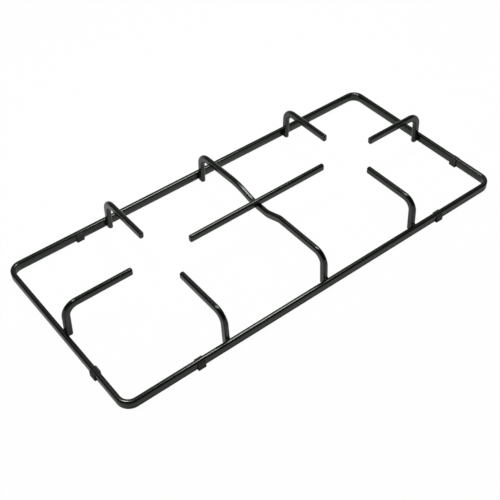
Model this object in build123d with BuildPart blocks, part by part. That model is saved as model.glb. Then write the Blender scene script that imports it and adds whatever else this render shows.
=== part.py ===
from build123d import *

import os
from math import radians, tan

# Wire pan support that spans two burners of a gas hob: a frame of flat bar, wires that reach in to each
# burner, and rubber feet. Sizes are in millimetres. X runs along the support, Y from its front to its back
# and Z up, from the hob's surface. The origin is on that surface, under the middle of the support.

# Frame: flat bar on edge, bent into a closed rounded rectangle
overall_length = 460.0
overall_width = 212.0
frame_bar_width = 4.0
frame_bar_height = 10.0
frame_edge_flat = 0.4
frame_corner_inside_radius = 9.0

# Pan wires: flat wire on edge, with round edges
wire_width = 4.5
wire_height = 7.5
wire_edge_flat = 0.5
wire_tip_radius = 1.2
bend_inside_radius = 8.5

# Legs of the pan wires, on the inner face of the frame
leg_end_inset = 2.0
leg_end_chamfer = 0.6
leg_lean_degrees = 2.8

# Burners, and the pans above them
pan_height = 42.5
burner_spacing = 234.0
burner_clear_diameter = 66.0

# Bridge between the burners, which dips to carry the centre bar
cross_wire_drop = 0.8
cross_wire_back_drop = 3.0
dip_floor_front = 14.0
dip_floor_back = 9.0
dip_front_ramp = 18.6
dip_back_ramp = 26.3
dip_front_crest_radius = 14.0
dip_front_floor_radius = 24.0
dip_back_floor_radius = 40.0
dip_back_crest_radius = 80.0

# Welds: how far a wire sinks in, and the bead in the groove between a leg and the frame's top edge
weld_set_down = 0.3
weld_bead_radius = 1.7
weld_bead_setback = 0.3
weld_bead_rise = 0.1

# Rubber feet, pushed on to the frame from below
foot_length = 8.6
foot_wall = 1.7
foot_inner_lip_drop = 1.4
foot_outer_lip_drop = 3.2
foot_floor = 1.0
foot_clearance = 0.1
foot_corner_radius = 0.8
foot_end_chamfer = 0.5
foot_rail_offset = 150.0
foot_end_offset = 55.0

# Heights, faces and edges that follow from the sizes above
half_inner_length = overall_length / 2 - frame_bar_width
half_inner_width = overall_width / 2 - frame_bar_width
half_rail_spacing = (overall_width - frame_bar_width) / 2
half_end_spacing = (overall_length - frame_bar_width) / 2
frame_bottom = foot_floor + foot_clearance
frame_middle = frame_bottom + frame_bar_height / 2
frame_top = frame_bottom + frame_bar_height
frame_edge_radius = (frame_bar_width - frame_edge_flat) / 2
wire_edge_radius = (wire_width - wire_edge_flat) / 2
weld_bead_height = frame_top + weld_bead_rise
leg_end_height = frame_bottom + leg_end_inset
foot_inner_height = frame_top - foot_inner_lip_drop
foot_outer_height = frame_top - foot_outer_lip_drop
wire_middle = pan_height - wire_height / 2
cross_wire_middle = wire_middle - cross_wire_drop
back_hook_middle = wire_middle - cross_wire_back_drop
back_leg_end_height = leg_end_height - (cross_wire_back_drop - cross_wire_drop)
dip_middle = wire_middle - wire_height + weld_set_down
burner_offset = burner_spacing / 2
burner_clear_radius = burner_clear_diameter / 2
bend_radius = bend_inside_radius + wire_height / 2

UP = Vector(0, 0, 1)
LEFT = Vector(-1, 0, 0)
RIGHT = Vector(1, 0, 0)
FRONT = Vector(0, -1, 0)
BACK = Vector(0, 1, 0)


def leg_depth(height):
    """Distance of a leg's centre line from the frame's inner face, at a height above the hob."""
    return wire_height / 2 - weld_set_down + (height - frame_middle) * tan(radians(leg_lean_degrees))


def upright_plane(x, y, forward):
    """Upright plane through a point, with its first axis forward and its second axis up."""
    return Plane(origin=(x, y, 0), x_dir=forward, z_dir=forward.cross(UP))


def sweep_wire(route, plane):
    """Wire along a route that is drawn on an upright plane, with its round edges above and below."""
    with BuildSketch(Plane(origin=route @ 0, x_dir=plane.z_dir, z_dir=route % 0)) as section:
        RectangleRounded(wire_width, wire_height, wire_edge_radius)
    sweep(sections=section.sketch, path=route)


def round_tip(face):
    """Rounded rim on the free end of a wire, beside a burner."""
    fillet(face.edges(), wire_tip_radius)


def weld_legs(*rails):
    """A bead of weld over the joint of each leg with its rail, all cut to lie face to face on the frame."""
    beads = [rail.origin - rail.x_dir * weld_bead_setback + UP * weld_bead_height for rail in rails]
    with Locations(*beads):
        Sphere(weld_bead_radius)
    add(frame_ring.part, mode=Mode.SUBTRACT)


os.makedirs("parts", exist_ok=True)

# Frame ring
with BuildPart() as frame_ring:
    with BuildSketch(Plane.XY.offset(frame_bottom)):
        RectangleRounded(overall_length, overall_width, frame_corner_inside_radius + frame_bar_width)
        RectangleRounded(
            2 * half_inner_length, 2 * half_inner_width, frame_corner_inside_radius, mode=Mode.SUBTRACT
        )
    extrude(amount=frame_bar_height)
    rims = frame_ring.edges().group_by(Axis.Z)
    fillet(rims[0] + rims[-1], frame_edge_radius)
frame_ring.part.label = "frame_ring"
export_step(frame_ring.part, "parts/frame_ring.step")

# Fingers: a leg on the frame's inner face, a bend and a level run that ends beside a burner
side_reach = half_inner_width - burner_clear_radius
end_reach = half_inner_length - burner_offset - burner_clear_radius
fingers = {
    "left_end_finger": (upright_plane(-half_inner_length, 0, RIGHT), end_reach),
    "right_end_finger": (upright_plane(half_inner_length, 0, LEFT), end_reach),
    "front_left_finger": (upright_plane(-burner_offset, -half_inner_width, BACK), side_reach),
    "front_right_finger": (upright_plane(burner_offset, -half_inner_width, BACK), side_reach),
    "back_left_finger": (upright_plane(-burner_offset, half_inner_width, FRONT), side_reach),
    "back_right_finger": (upright_plane(burner_offset, half_inner_width, FRONT), side_reach),
}
for name, (rail, reach) in fingers.items():
    with BuildPart() as finger:
        with BuildLine(rail):
            route = FilletPolyline(
                (leg_depth(leg_end_height), leg_end_height),
                (leg_depth(wire_middle), wire_middle),
                (reach, wire_middle),
                radius=bend_radius,
            )
        sweep_wire(route, rail)
        round_tip(finger.faces().sort_by(Axis(rail.origin, rail.x_dir))[-1])
        chamfer(finger.faces().sort_by(Axis.Z)[0].edges(), leg_end_chamfer)
        weld_legs(rail)
    finger.part.label = name
    export_step(finger.part, f"parts/{name}.step")

# Cross wire: a bridge from the front rail to the back rail, with a dip where the centre bar lies on it. It
# hooks over a little lower at the back than at the front.
front_rail = upright_plane(0, -half_inner_width, BACK)
back_rail = upright_plane(0, half_inner_width, FRONT)
with BuildPart() as cross_wire:
    bridge_plane = upright_plane(0, 0, BACK)
    front_end = half_inner_width - leg_depth(leg_end_height)
    front_top = half_inner_width - leg_depth(cross_wire_middle)
    back_top = half_inner_width - leg_depth(back_hook_middle)
    back_end = half_inner_width - leg_depth(back_leg_end_height)
    with BuildLine(bridge_plane):
        bridge = FilletPolyline(
            (-front_end, leg_end_height),
            (-front_top, cross_wire_middle),
            (-dip_floor_front - dip_front_ramp, cross_wire_middle),
            (-dip_floor_front, dip_middle),
            (dip_floor_back, dip_middle),
            (dip_floor_back + dip_back_ramp, cross_wire_middle),
            (back_top, back_hook_middle),
            (back_end, back_leg_end_height),
            radius=(
                bend_radius,
                dip_front_crest_radius,
                dip_front_floor_radius,
                dip_back_floor_radius,
                dip_back_crest_radius,
                bend_radius,
            ),
        )
    sweep_wire(bridge, bridge_plane)
    for leg_end in cross_wire.faces().sort_by(Axis.Z)[:2]:
        chamfer(leg_end.edges(), leg_end_chamfer)
    weld_legs(front_rail, back_rail)
cross_wire.part.label = "cross_wire"
export_step(cross_wire.part, "parts/cross_wire.step")

# Centre bar: a straight wire from burner to burner, welded down on to the dip of the cross wire
bar_half_length = burner_offset - burner_clear_radius
with BuildPart() as centre_bar:
    with BuildSketch(Plane(origin=(-bar_half_length, 0, wire_middle), x_dir=BACK, z_dir=RIGHT)):
        RectangleRounded(wire_width, wire_height, wire_edge_radius)
    extrude(amount=2 * bar_half_length)
    round_tip(centre_bar.faces().sort_by(Axis.X)[0])
    round_tip(centre_bar.faces().sort_by(Axis.X)[-1])
    add(cross_wire.part, mode=Mode.SUBTRACT)
centre_bar.part.label = "centre_bar"
export_step(centre_bar.part, "parts/centre_bar.step")

# Feet: moulded saddles that hold the frame's lower edge in a groove of its own section, with the taller wall
# inside the frame
foot_width = frame_bar_width + 2 * (foot_clearance + foot_wall)
feet = {
    "foot_front_left": upright_plane(-foot_rail_offset, -half_rail_spacing, BACK),
    "foot_front_right": upright_plane(foot_rail_offset, -half_rail_spacing, BACK),
    "foot_back_left": upright_plane(-foot_rail_offset, half_rail_spacing, FRONT),
    "foot_back_right": upright_plane(foot_rail_offset, half_rail_spacing, FRONT),
    "foot_left": upright_plane(-half_end_spacing, -foot_end_offset, RIGHT),
    "foot_right": upright_plane(half_end_spacing, -foot_end_offset, LEFT),
}
for name, section_plane in feet.items():
    with BuildPart() as foot:
        with BuildSketch(section_plane):
            with Locations((0, foot_outer_height / 2)):
                RectangleRounded(foot_width, foot_outer_height, foot_corner_radius)
            with Locations((foot_width / 4, foot_inner_height / 2)):
                RectangleRounded(foot_width / 2, foot_inner_height, foot_corner_radius)
        extrude(amount=foot_length / 2, both=True)
        ends = foot.faces().sort_by(Axis(section_plane.origin, section_plane.z_dir))
        chamfer(ends[0].edges() + ends[-1].edges(), foot_end_chamfer)
        with BuildSketch(section_plane):
            with Locations((0, frame_middle)):
                RectangleRounded(
                    frame_bar_width + 2 * foot_clearance,
                    frame_bar_height + 2 * foot_clearance,
                    frame_edge_radius + foot_clearance,
                )
        extrude(amount=foot_length, both=True, mode=Mode.SUBTRACT)
    foot.part.label = name
    export_step(foot.part, f"parts/{name}.step")
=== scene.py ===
# %% [markdown]
# # A wire pan support for a gas hob
#
# The support is a frame of flat bar with bent wires welded to its inside and small rubber feet on its
# edge. The shapes of its pieces are finished before this lesson starts: each comes in as a mesh at its
# real size, in metres. What is left is the glass coat on the steel, one foot that differs from the rest,
# the finishes, the studio and the camera. We load the pieces first and note the box that they fill.

from math import radians

import bpy
from mathutils import Matrix, Quaternion, Vector


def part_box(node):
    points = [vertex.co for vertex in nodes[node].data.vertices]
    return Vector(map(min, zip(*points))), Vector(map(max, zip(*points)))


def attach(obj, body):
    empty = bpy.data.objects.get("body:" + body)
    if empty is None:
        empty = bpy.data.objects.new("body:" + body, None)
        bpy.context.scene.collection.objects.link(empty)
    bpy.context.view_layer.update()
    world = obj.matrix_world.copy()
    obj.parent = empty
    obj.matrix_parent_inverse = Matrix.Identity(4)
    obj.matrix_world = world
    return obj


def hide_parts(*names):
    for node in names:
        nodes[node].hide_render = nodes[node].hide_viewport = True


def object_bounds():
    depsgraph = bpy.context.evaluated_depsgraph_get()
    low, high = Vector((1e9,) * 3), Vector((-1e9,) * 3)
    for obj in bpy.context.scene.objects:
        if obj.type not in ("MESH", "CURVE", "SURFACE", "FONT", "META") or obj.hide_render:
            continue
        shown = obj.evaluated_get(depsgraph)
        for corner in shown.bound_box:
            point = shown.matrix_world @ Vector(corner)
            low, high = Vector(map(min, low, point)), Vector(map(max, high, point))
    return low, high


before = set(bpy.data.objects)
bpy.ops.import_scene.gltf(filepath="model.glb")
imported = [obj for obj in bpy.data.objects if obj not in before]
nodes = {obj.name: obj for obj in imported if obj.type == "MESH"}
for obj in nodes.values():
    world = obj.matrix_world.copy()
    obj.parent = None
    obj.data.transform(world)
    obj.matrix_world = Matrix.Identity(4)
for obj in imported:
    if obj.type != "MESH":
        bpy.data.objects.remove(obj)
cad_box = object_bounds()
feet = [name for name in nodes if name.startswith("foot")]
wires = [name for name in nodes if name not in feet]
print(len(wires), "enamelled pieces and", len(feet), "feet")
print("They fill a box from", cad_box[0], "to", cad_box[1])

# %% [markdown]
# ## Shader maths as plain sums
#
# A procedural finish is a graph of nodes, and a graph is slow to read as code. It could be wired one link
# at a time, but the usual way out is one small class that stands for a socket. Adding or multiplying two
# of them adds the Math node that does it, so a finish reads like a recipe. Every other kind of node comes
# from one method, which takes the node's type, its settings and its sockets.


# %% A socket that can be added and multiplied
class Shade:
    """A socket of a node tree. Sums and products of sockets add Math nodes to the tree."""

    def __init__(self, tree, socket=None):
        self.tree = tree
        self.socket = socket

    def node(self, kind, settings, sockets, output=0):
        """A new node: its settings go in first, then the values or links of its sockets."""
        made = self.tree.nodes.new(kind)
        for key, value in settings.items():
            if key == "stops":
                for stop, (place, colour) in zip(made.color_ramp.elements, value):
                    stop.position = place
                    stop.color = colour
            else:
                setattr(made, key, value)
        for key, value in sockets.items():
            if isinstance(value, Shade):
                self.tree.links.new(value.socket, made.inputs[key])
            else:
                made.inputs[key].default_value = value
        return Shade(self.tree, made.outputs[output] if made.outputs else None)

    def math(self, operation, first, second):
        return self.node("ShaderNodeMath", {"operation": operation}, {0: first, 1: second})

    def __add__(self, other):
        return self.math("ADD", self, other)

    __radd__ = __add__

    def __sub__(self, other):
        return self.math("SUBTRACT", self, other)

    def __rsub__(self, other):
        return self.math("SUBTRACT", other, self)

    def __mul__(self, other):
        return self.math("MULTIPLY", self, other)

    __rmul__ = __mul__


print("Sockets can be added, subtracted and multiplied.")


# %% The start and the end of a finish
def new_finish(name):
    """An empty material, and the start of its node tree."""
    material = bpy.data.materials.new(name)
    material.use_nodes = True
    material.node_tree.nodes.clear()
    return material, Shade(material.node_tree)


def surface(shade, shader):
    """Hands a finished shader to the tree's output."""
    shade.node("ShaderNodeOutputMaterial", {}, {"Surface": shader})


def noise(shade, place, size, detail=2.0):
    """Soft noise whose lumps are about as wide as size, in metres."""
    sockets = {"Vector": place, "Scale": 1.0 / size, "Detail": detail}
    return shade.node("ShaderNodeTexNoise", {}, sockets, "Fac")


print("A finish starts with an empty material and ends with its surface.")

# %% [markdown]
# ## Black vitreous enamel
#
# The steel is coated with powdered glass and fired, so its surface is a thin layer of black glass. Close
# up it is never quite flat: it has a soft orange peel from the melt, a fine grain, and patches where it
# flowed a little thicker. A picture of enamel would have to be wrapped round every bend, so the finish is
# worked out from noise in space instead. The Principled shader with a low roughness gives the glassy
# sheen over nearly black. The peel and the grain go into a Bump node, because they are far too fine to
# model, and the patches vary colour and roughness.
#
# On the tall faces of the frame bar the glass also gathers: it is fullest a little below the middle,
# where it sagged before it set. That hardly changes the outline, but it makes each face shade from dark
# at the top to light at the foot. So the frame gets its own enamel, with that swell in the same bump.

# %% Colours and measures of the enamel
ENAMEL_THIN = (0.0034, 0.0058, 0.003, 1)
ENAMEL_THICK = (0.0014, 0.0026, 0.0012, 1)
THICK_BELOW = 0.3
THIN_ABOVE = 0.75
ENAMEL_SHEEN = (0.93, 1.0, 0.92, 1)
ENAMEL_IOR = 1.5
ENAMEL_ROUGHNESS = 0.13
PATCH_ROUGHNESS = 0.08
GRAIN_ROUGHNESS = 0.04
PATCH_SIZE = 0.014
PEEL_SIZE = 0.0016
PEEL_DEPTH = 0.000005
GRAIN_SIZE = 0.00035
GRAIN_DETAIL = 1.0
GRAIN_SHARE = 0.2
SWELL_RADIUS = 0.0125
SWELL_SAG = 0.0008
frame_low, frame_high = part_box("frame_ring")
SWELL_HEIGHT = (frame_low.z + frame_high.z) / 2 - SWELL_SAG
print("The frame's enamel is fullest", round(SWELL_HEIGHT * 1000, 2), "mm above the table.")


# %% Black enamel
def black_enamel(name, swell_height=None):
    """Black enamel. With a swell height, upright faces are fullest at that height above the table."""
    material, shade = new_finish(name)
    place = shade.node("ShaderNodeTexCoord", {}, {}, "Object")
    patch = noise(shade, place, PATCH_SIZE)
    peel = noise(shade, place, PEEL_SIZE)
    grain = noise(shade, place, GRAIN_SIZE, GRAIN_DETAIL)
    stops = [(THICK_BELOW, ENAMEL_THICK), (THIN_ABOVE, ENAMEL_THIN)]
    colour = shade.node("ShaderNodeValToRGB", {"stops": stops}, {"Fac": patch}, "Color")
    roughness = ENAMEL_ROUGHNESS + PATCH_ROUGHNESS * patch + GRAIN_ROUGHNESS * grain
    height = PEEL_DEPTH * (peel + GRAIN_SHARE * grain)
    if swell_height is not None:
        above_swell = shade.node("ShaderNodeSeparateXYZ", {}, {"Vector": place}, "Z") - swell_height
        height = height - above_swell * above_swell * (0.5 / SWELL_RADIUS)
    # The height is in metres already, so the bump takes it as it is.
    bump = {"Strength": 1.0, "Distance": 1.0, "Height": height}
    relief = shade.node("ShaderNodeBump", {}, bump, "Normal")
    surface(shade, shade.node(
        "ShaderNodeBsdfPrincipled",
        {},
        {
            "Base Color": colour,
            "Roughness": roughness,
            "IOR": ENAMEL_IOR,
            "Specular Tint": ENAMEL_SHEEN,
            "Normal": relief,
        },
    ))
    return material


wire_enamel = black_enamel("black_enamel")
frame_enamel = black_enamel("black_enamel_frame", SWELL_HEIGHT)
print("Finishes:", wire_enamel.name, "and", frame_enamel.name)

# %% [markdown]
# ## The coat as a real layer
#
# Enamel is thick for a finish: about a third of a millimetre on every side. It makes the wires fuller and
# their edges rounder than the bare steel that was loaded, and no bump can change an outline, so the coat
# is a mesh. A Solidify modifier would add a second wall that nobody can see. So we copy each steel piece,
# merge its loose triangles and let a Displace modifier push the copy outwards by the thickness of the
# coat. Weighted normals then keep the flat faces flat in the light. A wire that carries pans is set down
# by as much as it grew, so the pans stand as high as before.

# %% A copy to work on
MERGE_DISTANCE = 0.000001


def merged_copy(name, ending):
    """A copy of a loaded piece, with its loose triangles merged and nothing selected in it."""
    piece = bpy.data.objects.new(name + ending, nodes[name].data.copy())
    bpy.context.scene.collection.objects.link(piece)
    bpy.ops.object.select_all(action="DESELECT")
    piece.select_set(True)
    bpy.context.view_layer.objects.active = piece
    bpy.ops.mesh.customdata_custom_splitnormals_clear()
    bpy.ops.object.mode_set(mode="EDIT")
    bpy.ops.mesh.select_all(action="SELECT")
    bpy.ops.mesh.remove_doubles(threshold=MERGE_DISTANCE)
    bpy.ops.mesh.select_all(action="DESELECT")
    bpy.ops.object.mode_set(mode="OBJECT")
    return piece


print("Corners closer than", MERGE_DISTANCE, "m become one in a copy.")

# %% Enamel coat
COAT_THICKNESS = 0.00032
COAT_SMOOTH_ANGLE = radians(60)


def enamel_coat(name, enamel):
    """The enamelled outside of a steel piece, which is shown instead of it."""
    coat = merged_copy(name, "_coat")
    push = coat.modifiers.new("coat", "DISPLACE")
    push.strength = COAT_THICKNESS
    push.mid_level = 0.0
    bpy.ops.object.modifier_apply(modifier=push.name)
    over_pans = max(corner.co.z for corner in coat.data.vertices) - cad_box[1].z
    coat.data.transform(Matrix.Translation((0, 0, -max(over_pans, 0.0))))
    bpy.ops.object.shade_smooth_by_angle(angle=COAT_SMOOTH_ANGLE)
    even = coat.modifiers.new("even", "WEIGHTED_NORMAL")
    even.keep_sharp = True
    bpy.ops.object.modifier_apply(modifier=even.name)
    coat.data.materials.clear()
    coat.data.materials.append(enamel)
    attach(coat, "root")
    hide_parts(name)
    return coat


for name in wires:
    coat = enamel_coat(name, frame_enamel if name == "frame_ring" else wire_enamel)
    print(coat.name, "has", len(coat.data.polygons), "faces")

# %% [markdown]
# ## Moulded rubber
#
# The feet are small saddles of black silicone rubber, moulded in a tool with a fine spark-eroded skin.
# Rubber gives back little of the studio: it is matt, a little dusty on its outside and slightly uneven in
# gloss. One flat dark grey would pass for paint. So a high roughness comes with a fine bump for the skin,
# and a broad noise stands for handling.

# %% Foot rubber
RUBBER_CLEAN = (0.008, 0.008, 0.008, 1)
RUBBER_DUSTY = (0.022, 0.022, 0.021, 1)
CLEAN_BELOW = 0.35
DUSTY_ABOVE = 0.8
RUBBER_IOR = 1.45
RUBBER_ROUGHNESS = 0.5
HANDLING_ROUGHNESS = 0.25
HANDLING_SIZE = 0.004
SKIN_SIZE = 0.0003
SKIN_DEPTH = 0.00006
SKIN_STRENGTH = 0.4


def foot_rubber():
    material, shade = new_finish("foot_rubber")
    place = shade.node("ShaderNodeTexCoord", {}, {}, "Object")
    handling = noise(shade, place, HANDLING_SIZE)
    skin = noise(shade, place, SKIN_SIZE)
    stops = [(CLEAN_BELOW, RUBBER_CLEAN), (DUSTY_ABOVE, RUBBER_DUSTY)]
    colour = shade.node("ShaderNodeValToRGB", {"stops": stops}, {"Fac": handling}, "Color")
    roughness = RUBBER_ROUGHNESS + HANDLING_ROUGHNESS * handling
    bump = {"Strength": SKIN_STRENGTH, "Distance": SKIN_DEPTH, "Height": skin}
    relief = shade.node("ShaderNodeBump", {}, bump, "Normal")
    surface(shade, shade.node(
        "ShaderNodeBsdfPrincipled",
        {},
        {"Base Color": colour, "Roughness": roughness, "IOR": RUBBER_IOR, "Normal": relief},
    ))
    return material


rubber = foot_rubber()
for name in feet:
    nodes[name].data.materials.clear()
    nodes[name].data.materials.append(rubber)
print("Rubber on", ", ".join(feet))

# %% [markdown]
# ## A foot with a taller wall
#
# Each foot has a tall wall inside the frame and a lower one outside, but on the right-hand rail the outer
# wall peeps over the edge as well. That foot could be built again from a cube, but only one height of it
# differs. So we copy it, select the corners beyond the rail and above the middle of the foot by their
# place, and move them up until both walls are level. The sides of the wall stretch with them, and its
# rounded top keeps its shape.

# %% Taller foot
FOOT_SMOOTH_ANGLE = radians(30)


def taller_foot(name):
    """A foot on the right-hand rail, its outer wall as tall as its inner one, shown instead of it."""
    foot = merged_copy(name, "_taller")
    low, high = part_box(name)
    middle = (low.z + high.z) / 2
    corners = foot.data.vertices
    wall = [corner for corner in corners if corner.co.x > frame_high.x and corner.co.z > middle]
    rise = high.z - max(corner.co.z for corner in wall)
    for corner in wall:
        corner.select = True
    bpy.ops.object.mode_set(mode="EDIT")
    bpy.ops.transform.translate(value=(0, 0, rise))
    bpy.ops.object.mode_set(mode="OBJECT")
    bpy.ops.object.shade_smooth_by_angle(angle=FOOT_SMOOTH_ANGLE)
    foot.data.materials.clear()
    foot.data.materials.append(rubber)
    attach(foot, "root")
    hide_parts(name)
    print(foot.name, "has an outer wall that is", round(rise * 1000, 2), "mm taller")


taller_foot("foot_right")

# %% [markdown]
# ## The white table
#
# Black glass shows only what it mirrors, so the table matters as much as the finish: the grey of every
# upright face is the table, seen at a slant. Brighter lamps would turn the table white, but they would
# flood the enamel with highlights too. So the table's material asks what kind of ray has met it. To the
# camera it is plain white, with a small share of its real, lit surface left in, so that the soft shadow
# stays. In mirrored rays only a share of that white is mixed in, so the faces on the lit side are a
# little paler than those on the far side. To all other rays it is a pale painted board.

# %% White table
TABLE_SIZE = 12.0
TABLE_GREY = (0.8, 0.8, 0.8, 1)
TABLE_WHITE = (1, 1, 1, 1)
SHADOW_SHARE = 0.02
MIRROR_SHARE = 0.2


def white_table():
    material, shade = new_finish("white_table")
    camera_ray = shade.node("ShaderNodeLightPath", {}, {}, "Is Camera Ray")
    mirrored_ray = shade.node("ShaderNodeLightPath", {}, {}, "Is Glossy Ray")
    clear_ray = shade.node("ShaderNodeLightPath", {}, {}, "Is Transmission Ray")
    seen = camera_ray * (1 - SHADOW_SHARE) + (mirrored_ray + clear_ray) * MIRROR_SHARE
    lit = shade.node("ShaderNodeBsdfDiffuse", {}, {"Color": TABLE_GREY})
    glow = shade.node("ShaderNodeEmission", {}, {"Color": TABLE_WHITE, "Strength": 1.0})
    surface(shade, shade.node("ShaderNodeMixShader", {}, {0: seen, 1: lit, 2: glow}))
    return material


bpy.ops.object.select_all(action="DESELECT")
bpy.ops.mesh.primitive_plane_add(size=TABLE_SIZE, location=(0, 0, cad_box[0].z))
table = bpy.context.object
table.name = "white_table"
table.data.materials.append(white_table())
print("A table of", TABLE_SIZE, "m, at the height of the feet:", round(cad_box[0].z, 5))

# %% [markdown]
# ## Room
#
# What a glossy black edge mirrors decides how it looks. Here that is a dark room with one broad, soft
# window high behind the right-hand corner, and a pale strip all round where the table's far edge meets
# the wall. The window keeps the level tops a dark grey, and the dark wall in front leaves a black band
# between each top and the grey of the face below. A picture of a real room could be wrapped round the
# scene, but two ramps in the world shader are easier to adjust: one on how nearly a direction points at
# the window, and one on how high it looks.

# %% Dark room with a window
WINDOW_DIRECTION = Vector((0.35, 0.62, 0.7)).normalized()
WINDOW_EDGE = 0.5
WINDOW_LIGHT = 0.36
WALL_LIGHT = 0.045
STRIP_TOP = 0.1
STRIP_FADE = 0.16
# A Mix node has sockets for several kinds of data. These are the places of those that take colours.
MIX_FACTOR, MIX_FIRST, MIX_SECOND, MIX_RESULT = 0, 6, 7, 2


def grey(light):
    return (light, light, light, 1)


def studio_room():
    world = bpy.data.worlds.new("studio_room")
    world.use_nodes = True
    world.node_tree.nodes.clear()
    shade = Shade(world.node_tree)
    direction = shade.node("ShaderNodeTexCoord", {}, {}, "Generated")
    aim = {0: direction, 1: WINDOW_DIRECTION}
    towards = shade.node("ShaderNodeVectorMath", {"operation": "DOT_PRODUCT"}, aim, "Value")
    height = shade.node("ShaderNodeSeparateXYZ", {}, {"Vector": direction}, "Z")
    window = [(WINDOW_EDGE, grey(WALL_LIGHT)), (1.0, grey(WINDOW_LIGHT))]
    strip = [(STRIP_TOP, grey(1.0)), (STRIP_FADE, grey(0.0))]
    walls = shade.node("ShaderNodeValToRGB", {"stops": window}, {"Fac": towards}, "Color")
    table_edge = shade.node("ShaderNodeValToRGB", {"stops": strip}, {"Fac": height}, "Color")
    lighter = {"data_type": "RGBA", "blend_type": "LIGHTEN"}
    pair = {MIX_FACTOR: 1.0, MIX_FIRST: walls, MIX_SECOND: table_edge}
    light = shade.node("ShaderNodeMix", lighter, pair, MIX_RESULT)
    glow = shade.node("ShaderNodeBackground", {}, {"Color": light, "Strength": 1.0})
    shade.node("ShaderNodeOutputWorld", {}, {"Surface": glow})
    return world


bpy.context.scene.world = studio_room()
print("A dark room, with its window towards", tuple(round(part, 2) for part in WINDOW_DIRECTION))

# %% [markdown]
# ## Lamps
#
# Two soft lamps hang flat over the table. The key lamp, to the right, makes the thin bright line along
# the left half of the front rail, the back rail and the centre bar. The top lamp hangs over the left end
# and shows only where an edge turns towards the camera: on the near corner and on the bends of the wires.
# A glossy edge mirrors the lamp itself, so a point lamp would leave hard dots. Area lamps draw soft lines.

# %% Key lamp and top lamp
KEY_PLACE = (0.27, 0.15, 0.81)
KEY_SIZE = (0.3, 0.3)
KEY_POWER = 3.9
TOP_PLACE = (-0.245, 0.21, 0.85)
TOP_SIZE = (0.2, 0.2)
TOP_POWER = 3.5


def soft_lamp(name, place, size, power):
    """A flat lamp that faces straight down on the table."""
    lamp = bpy.data.lights.new(name, "AREA")
    lamp.shape = "RECTANGLE"
    lamp.size, lamp.size_y = size
    lamp.energy = power
    stand = bpy.data.objects.new(name, lamp)
    stand.location = place
    bpy.context.scene.collection.objects.link(stand)
    return stand


key_lamp = soft_lamp("key_lamp", KEY_PLACE, KEY_SIZE, KEY_POWER)
top_lamp = soft_lamp("top_lamp", TOP_PLACE, TOP_SIZE, TOP_POWER)
print("Lamps:", key_lamp.name, "and", top_lamp.name)

# %% [markdown]
# ## Camera
#
# The camera looks down on the front left corner from just under a metre away, through a short telephoto
# lens. A camera set by eye rarely gives every line its right slope. This one's place, aim and slight roll
# come from fitting the outlines of the rails and the wires.

# %% Camera
CAMERA_PLACE = Vector((-0.41605, -0.53108, 0.64726))
CAMERA_AIM = Vector((-0.02943, -0.02214, 0.0061))
CAMERA_ROLL = radians(-1.479)
LENS_MM = 65.98
SENSOR_MM = 36.0
NEAREST = 0.01

camera_data = bpy.data.cameras.new("camera")
camera_data.lens = LENS_MM
camera_data.sensor_width = SENSOR_MM
camera_data.clip_start = NEAREST
camera = bpy.data.objects.new("camera", camera_data)
camera.location = CAMERA_PLACE
camera.rotation_mode = "QUATERNION"
level = (CAMERA_AIM - CAMERA_PLACE).to_track_quat("-Z", "Y")
camera.rotation_quaternion = level @ Quaternion((0, 0, 1), CAMERA_ROLL)
bpy.context.scene.collection.objects.link(camera)
bpy.context.scene.camera = camera
bpy.context.scene.view_settings.view_transform = "Standard"
print("The camera stands", round((CAMERA_AIM - CAMERA_PLACE).length, 3), "m from what it looks at.")
